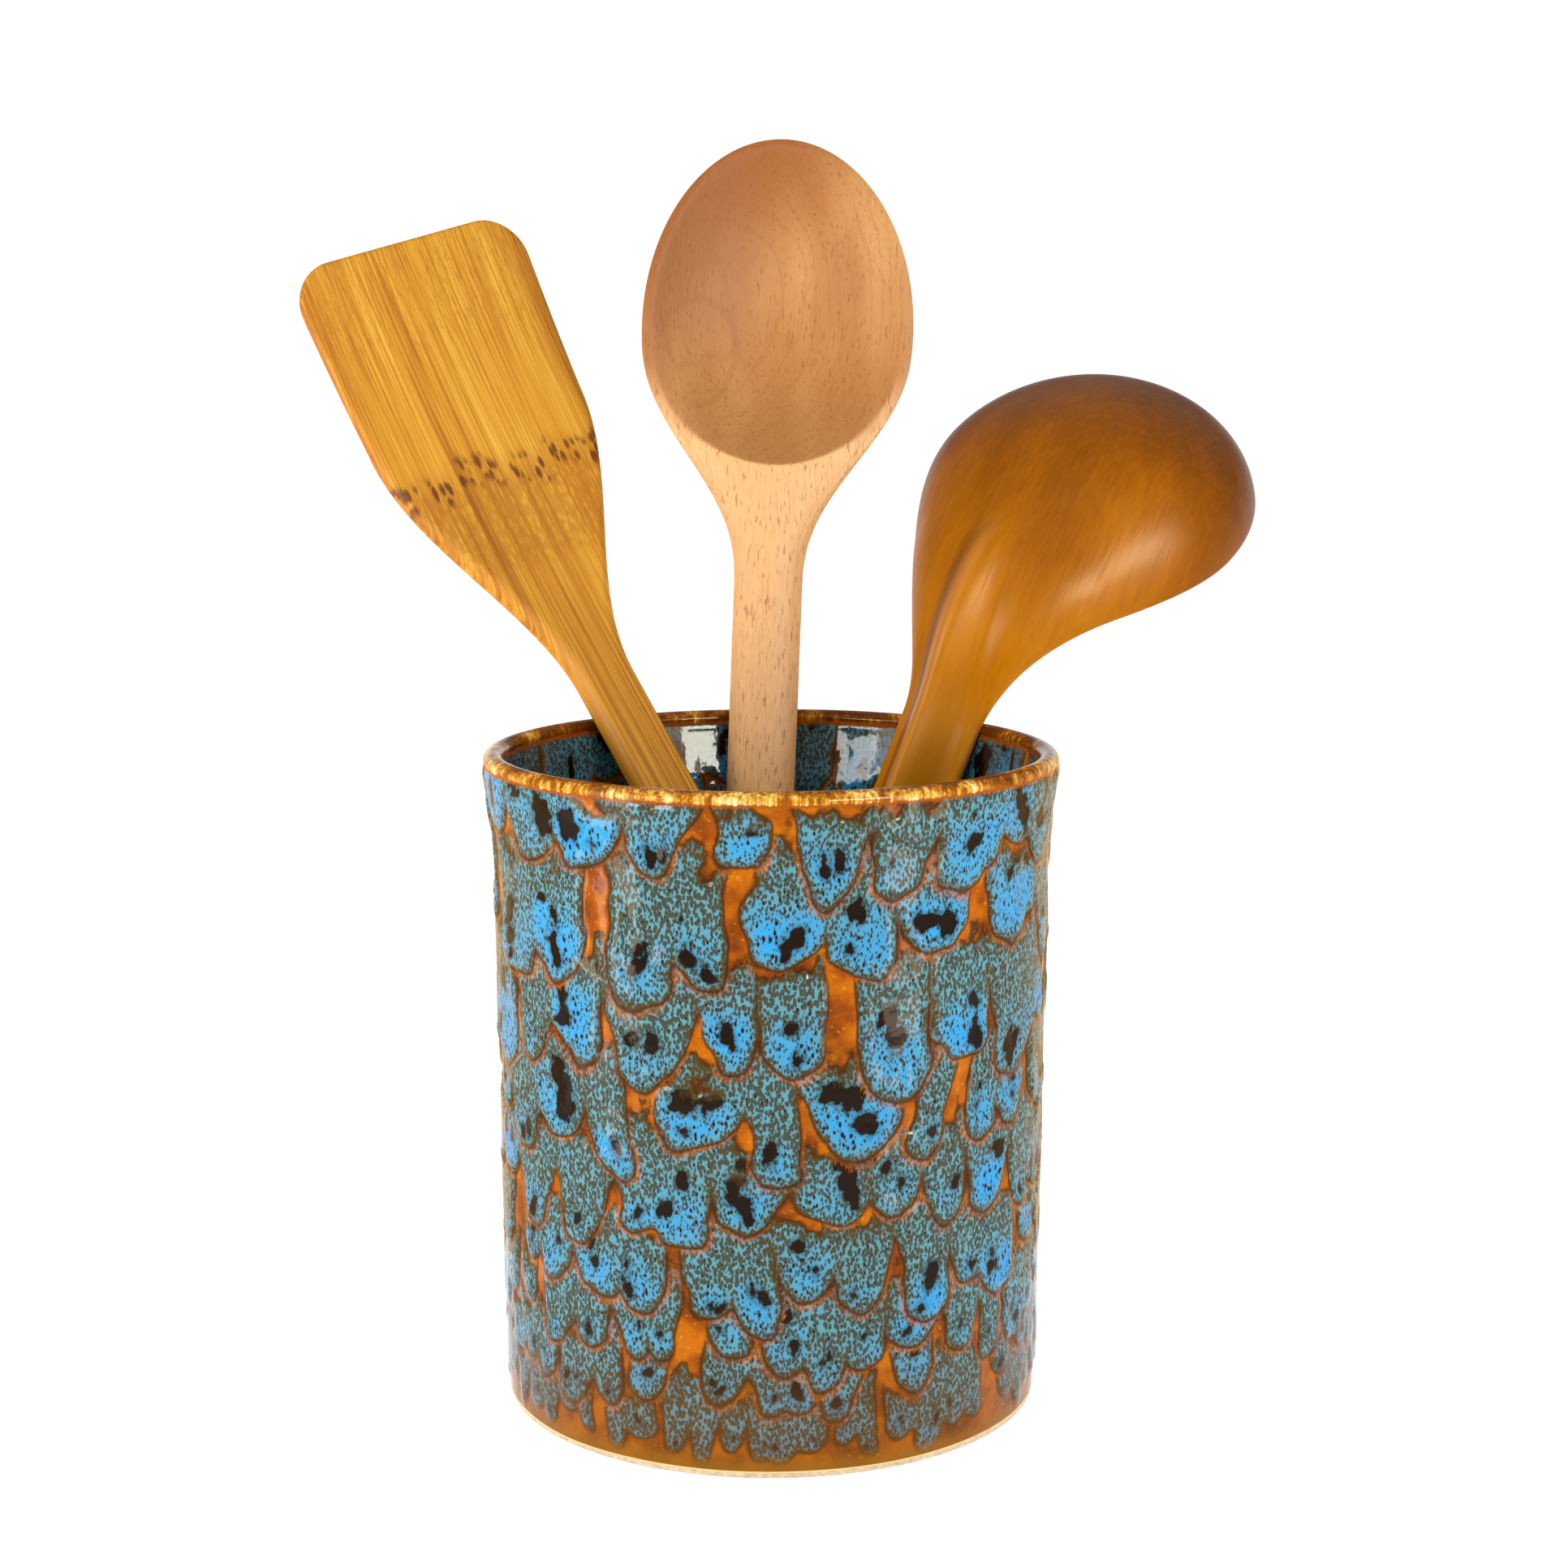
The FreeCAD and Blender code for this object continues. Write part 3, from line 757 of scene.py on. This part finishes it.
def beech_material():
    """Beech: small flecks all over, growth rings and a whorl, painted shade on the bowl toward its tip and left
    side, and a lower dish darkened by end grain and painted shade.
    """
    g = Graph("beech")
    x, y, q = g.parts(g.attribute("grain", "Vector"))
    along = g.joined(x, y, g.times(q, 0.12))
    soft = g.noise(g.stretched(along, 0.07, 0.07, 0.2))
    flecks = g.noise(g.stretched(along, 1.6, 1.6, 2.4), 2.0, 0.6)
    fine = g.noise(g.stretched(along, 3.0, 3.0, 1.2), 2.0, 0.6)
    layer = g.plus(g.minus(y, g.times(x, 0.38)), g.times(soft, 6.0))
    rings = g.step(g.math("SINE", g.times(layer, 2.6)), 0.72, 1.0)
    dish = g.attribute("dish")
    in_dish = g.step(dish, -0.15, 0.3)
    in_bowl = g.math("MAXIMUM", in_dish, g.step(q, 78.0, 56.0))
    colour = g.ramp(soft, (0.36, srgb(168, 114, 54)), (0.64, srgb(188, 138, 76)))
    colour = g.mix(g.minus(1.0, in_bowl), colour, srgb(220, 172, 112))
    # Painted shade on the bowl, toward its tip and its left side.
    painted_shade = g.times(g.step(g.plus(q, x), 50.0, -8.0), in_bowl)
    colour = g.tint(colour, painted_shade, 0.95, srgb(138, 79, 22))
    colour = g.tint(colour, g.times(rings, in_bowl), 0.2, srgb(140, 82, 34))
    colour = g.tint(colour, whorl_bands(g, x, q, soft, dish), 0.24, srgb(134, 78, 34))
    colour = g.tint(colour, g.step(fine, 0.42, 0.72), 0.3, srgb(160, 100, 46))
    # Darker toward the lower end of the dish: end grain, and painted shade.
    end_grain_and_shade = g.times(in_dish, g.step(q, 52.0, 86.0))
    colour = g.tint(colour, end_grain_and_shade, 0.6, srgb(138, 92, 44))
    colour = g.tint(colour, g.step(flecks, 0.57, 0.7), 0.6, srgb(126, 70, 28))
    g.constants({"Roughness": 0.55, "Specular IOR Level": 0.15})
    return g.finished(colour, flecks, 0.00012)


def stain_material():
    """Stained wood, darkest at the tip, with painted shade in a groove beside the keel and a painted highlight
    along its crest.
    """
    g = Graph("stained_wood")
    groove_place, crest_place = 6.4, 0.8
    x, y, q = g.parts(g.attribute("grain", "Vector"))
    along = g.joined(x, y, g.times(g.attribute("upright"), 0.06))
    soft = g.noise(g.stretched(along, 0.05, 0.05, 0.3))
    fine = g.noise(g.stretched(along, 0.8, 0.5, 1.0), 3.0, 0.6)
    tone = g.plus(g.times(soft, 0.2), g.plus(g.times(fine, 0.13), 0.17))
    tone = g.plus(tone, g.line(g.math("DIVIDE", q, 130.0), 0.0, 0.26))
    tone = g.plus(tone, g.times(g.step(q, 70.0, 130.0), 0.06))
    colour = g.ramp(tone, (0.3, srgb(78, 36, 0)), (0.44, srgb(132, 72, 0)), (0.62, srgb(186, 116, 2)))
    on_keel = g.times(g.step(y, 0.0, 1.5), g.step(q, 74.0, 88.0))
    # Painted shade in the groove on one side of the keel.
    painted_groove_shade = g.times(g.near(x, groove_place, 3.2, 0.6), on_keel)
    colour = g.tint(colour, painted_groove_shade, 0.6, srgb(96, 46, 0))
    # A painted highlight along the keel's crest.
    painted_crest_highlight = g.times(g.near(x, crest_place, 2.6, 0.4), on_keel)
    colour = g.tint(colour, painted_crest_highlight, 0.3, srgb(204, 142, 76))
    g.constants({"Roughness": 0.34, "Specular IOR Level": 0.14, "Specular Tint": (1.0, 0.72, 0.42, 1)})
    return g.finished(colour, fine, 0.0001)


pot = make_pot(glaze_material())
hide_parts("stoneware_crock")
make_foot(clay_material())
make_spatula(bamboo_material())
make_spoon(beech_material())
make_ladle(stain_material())


def stage_plane(name, corners, colour, glow, strength):
    """A flat piece of the studio, in metres, that gives off a little light."""
    mesh = bpy.data.meshes.new(name)
    mesh.from_pydata(corners, [], [tuple(range(len(corners)))])
    plane = bpy.data.objects.new(name, mesh)
    bpy.context.scene.collection.objects.link(plane)
    g = Graph(name)
    g.constants({"Base Color": colour, "Roughness": 0.9, "Specular IOR Level": 0.0})
    g.constants({"Emission Color": glow, "Emission Strength": strength})
    mesh.materials.append(g.material)
    return plane


def make_floor():
    reach, grey, white = 6, (0.6, 0.6, 0.6, 1), (1, 1, 1, 1)
    corners = [(-reach, -reach, 0), (reach, -reach, 0), (reach, reach, 0), (-reach, reach, 0)]
    stage_plane("floor", corners, grey, white, 0.74)


def warm_card(name, side):
    """An upright card beside and behind the crock. Only gloss shows it, and it warms the glaze's edges."""
    reach, height, lift = 0.2, 0.16, 0.001
    azimuths = (math.radians(80), math.radians(170))
    black, amber, glow = (0, 0, 0, 1), (1.0, 0.66, 0.34, 1), 1.05
    ends = [(side * reach * math.sin(a), -reach * math.cos(a)) for a in azimuths]
    corners = [(*ends[0], lift), (*ends[0], height), (*ends[1], height), (*ends[1], lift)]
    card = stage_plane(name, corners, black, amber, glow)
    card.visible_camera = False
    card.visible_diffuse = False
    card.visible_shadow = False


def softbox(name, azimuth, elevation, distance, width, height, power, tint, only_gloss=False):
    """A soft light aimed at the object's middle. Azimuth 0 is the camera's side, and it grows to the right."""
    a, e = math.radians(azimuth), math.radians(elevation)
    aim = Vector((0, 0, 0.13))
    place = aim + distance * Vector((math.sin(a) * math.cos(e), -math.cos(a) * math.cos(e), math.sin(e)))
    light = bpy.data.lights.new(name, "AREA")
    light.shape = "RECTANGLE"
    light.size = width
    light.size_y = height
    light.energy = power
    light.color = tint
    lamp = bpy.data.objects.new(name, light)
    lamp.rotation_mode = "QUATERNION"
    lamp.rotation_quaternion = (aim - place).to_track_quat("-Z", "Y")
    lamp.location = place
    lamp.visible_camera = False
    lamp.visible_diffuse = not only_gloss
    bpy.context.scene.collection.objects.link(lamp)


def make_lights():
    """Two tall cards and a large softbox, two small lights that only gloss shows, and a soft one overhead."""
    rose, white, blue, pale_blue = (1.0, 0.9, 0.92), (1, 1, 1), (0.58, 0.74, 1.0), (0.7, 0.84, 1.0)
    softbox("left_card", -61, 9, 0.4, width=0.13, height=0.42, power=1.5, tint=rose)
    softbox("right_card", 50, 9, 0.4, width=0.11, height=0.42, power=1.1, tint=rose)
    softbox("front_softbox", -20, 48, 1.3, width=1.0, height=0.8, power=2.7, tint=white)
    softbox("left_glint", -44, 11, 0.5, width=0.16, height=0.11, power=2.1, tint=blue, only_gloss=True)
    softbox("right_glint", 32, 15, 0.5, width=0.19, height=0.15, power=5.6, tint=pale_blue, only_gloss=True)
    sky = bpy.data.lights.new("overhead", "SUN")
    sky.energy = 0.85
    sky.angle = math.radians(120)
    bpy.context.scene.collection.objects.link(bpy.data.objects.new("overhead", sky))


def make_world():
    """Light from all round: a bright band at the horizon that fades upward, by the height a way points to."""
    fade_start, fade_end, horizon, above = 0.12, 0.32, 1.02, 0.22
    world = bpy.data.worlds.new("studio")
    world.use_nodes = True
    air = world.node_tree
    toward = air.nodes.new("ShaderNodeTexCoord")
    split = air.nodes.new("ShaderNodeSeparateXYZ")
    fade = air.nodes.new("ShaderNodeMapRange")
    background = air.nodes["Background"]
    fade.inputs["From Min"].default_value = fade_start
    fade.inputs["From Max"].default_value = fade_end
    fade.inputs["To Min"].default_value = horizon
    fade.inputs["To Max"].default_value = above
    air.links.new(toward.outputs["Generated"], split.inputs[0])
    air.links.new(split.outputs["Z"], fade.inputs["Value"])
    air.links.new(fade.outputs["Result"], background.inputs["Strength"])
    background.inputs["Color"].default_value = (1, 1, 1, 1)
    bpy.context.scene.world = world
    bpy.context.scene.view_settings.view_transform = "Standard"


def make_camera():
    """The photo's camera, as worked out from the ellipses of the rim and the foot."""
    photo_width, focal_pixels, sensor_width = 1932, 3532.1, 36
    place, dip_degrees = (0.00314, -0.6901, 0.2641), 9.281
    lens = bpy.data.cameras.new("camera")
    lens.sensor_width = sensor_width
    lens.lens = sensor_width * focal_pixels / photo_width
    camera = bpy.data.objects.new("camera", lens)
    camera.location = place
    camera.rotation_euler = (math.radians(90 - dip_degrees), 0, 0)
    bpy.context.scene.collection.objects.link(camera)
    bpy.context.scene.camera = camera


make_floor()
warm_card("left_warm_card", -1)
warm_card("right_warm_card", 1)
make_lights()
make_world()
make_camera()
